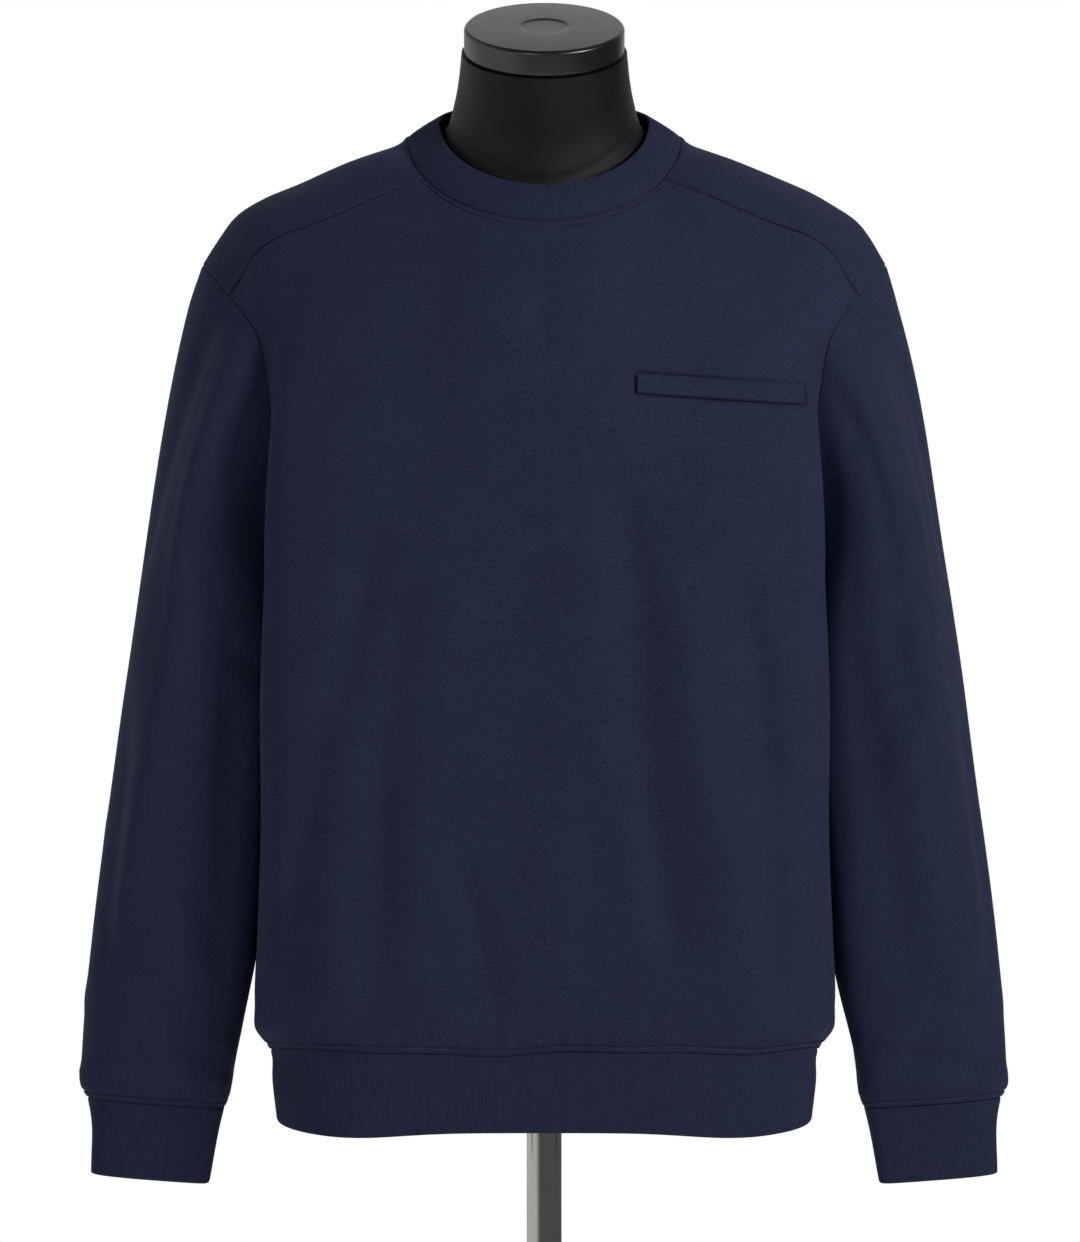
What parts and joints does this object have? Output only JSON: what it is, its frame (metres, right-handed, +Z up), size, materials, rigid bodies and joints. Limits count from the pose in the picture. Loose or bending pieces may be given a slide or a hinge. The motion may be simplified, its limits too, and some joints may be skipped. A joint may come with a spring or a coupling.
{
  "type": "crewneck sweatshirt on a dress form and stand",
  "caption": "Long-sleeved crewneck sweatshirt with set-in sleeves, rib bands and a chest welt pocket, worn by a limbless dress form on a pole and round foot.",
  "frame": {"origin": "on the floor, at the centre of the round foot's underside", "axes": "+Z up, +X towards the wearer's left, the front faces -Y"},
  "size_m": [0.6546, 0.38, 1.5499],
  "materials": {
    "front_panel_cloth": "matt navy sweatshirt knit",
    "back_panel_cloth": "matt navy sweatshirt knit",
    "sleeve_left_cloth": "matt navy sweatshirt knit",
    "sleeve_right_cloth": "matt navy sweatshirt knit",
    "cuff_left_cloth": "matt navy rib knit",
    "cuff_right_cloth": "matt navy rib knit",
    "hem_band_cloth": "matt navy rib knit",
    "neck_band_cloth": "matt navy rib knit",
    "pocket_welt_cloth": "matt navy sweatshirt knit",
    "form_jersey": "matt black jersey",
    "cap_satin": "satin grey",
    "socket_chrome": "polished",
    "pole_chrome": "polished",
    "base_metal": "satin"
  },
  "bodies": {
    "root": {"front_panel": "front_panel_cloth", "back_panel": "back_panel_cloth", "sleeve_left": "sleeve_left_cloth", "sleeve_right": "sleeve_right_cloth", "cuff_left": "cuff_left_cloth", "cuff_right": "cuff_right_cloth", "hem_band": "hem_band_cloth", "neck_band": "neck_band_cloth", "pocket_welt": "pocket_welt_cloth", "form_torso": "form_jersey", "neck_cap": "cap_satin", "pole_socket": "socket_chrome", "pole": "pole_chrome", "base_plate": "base_metal"}
  },
  "joints": []
}
